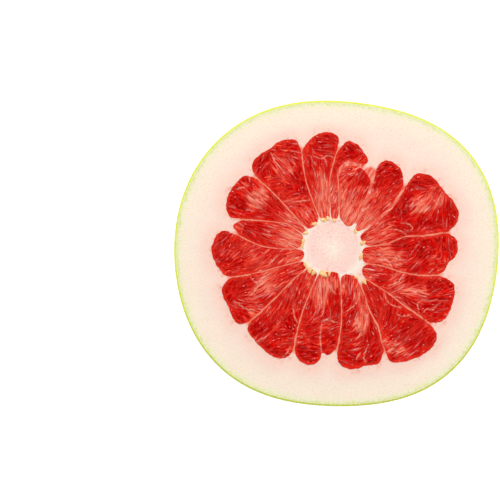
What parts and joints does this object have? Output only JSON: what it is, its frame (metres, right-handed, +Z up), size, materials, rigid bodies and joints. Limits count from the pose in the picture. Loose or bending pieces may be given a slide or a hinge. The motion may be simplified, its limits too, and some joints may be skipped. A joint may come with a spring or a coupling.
{
  "type": "pomelo half",
  "caption": "Half of a red-fleshed pomelo, cut across its middle: green skin, thick white pith and red segments round a white core, lying cut face up.",
  "frame": {"origin": "middle of the bounding box's underside, on the surface that the half lies on, under its blossom end", "axes": "+Z up through the cut face, +X along the cut face's longer side, +Y along its shorter side"},
  "size_m": [0.1566, 0.1474, 0.0709],
  "materials": {
    "skin": "waxy, finely dimpled by oil glands",
    "pith": "dry, matt and spongy, as freshly cut",
    "pulp": "wet, translucent juice sacs"
  },
  "bodies": {
    "root": {"skin": "skin", "pith": "pith", "segment_01": "pulp", "segment_02": "pulp", "segment_03": "pulp", "segment_04": "pulp", "segment_05": "pulp", "segment_06": "pulp", "segment_07": "pulp", "segment_08": "pulp", "segment_09": "pulp", "segment_10": "pulp", "segment_11": "pulp", "segment_12": "pulp", "segment_13": "pulp", "segment_14": "pulp", "segment_15": "pulp", "segment_16": "pulp"}
  },
  "joints": []
}
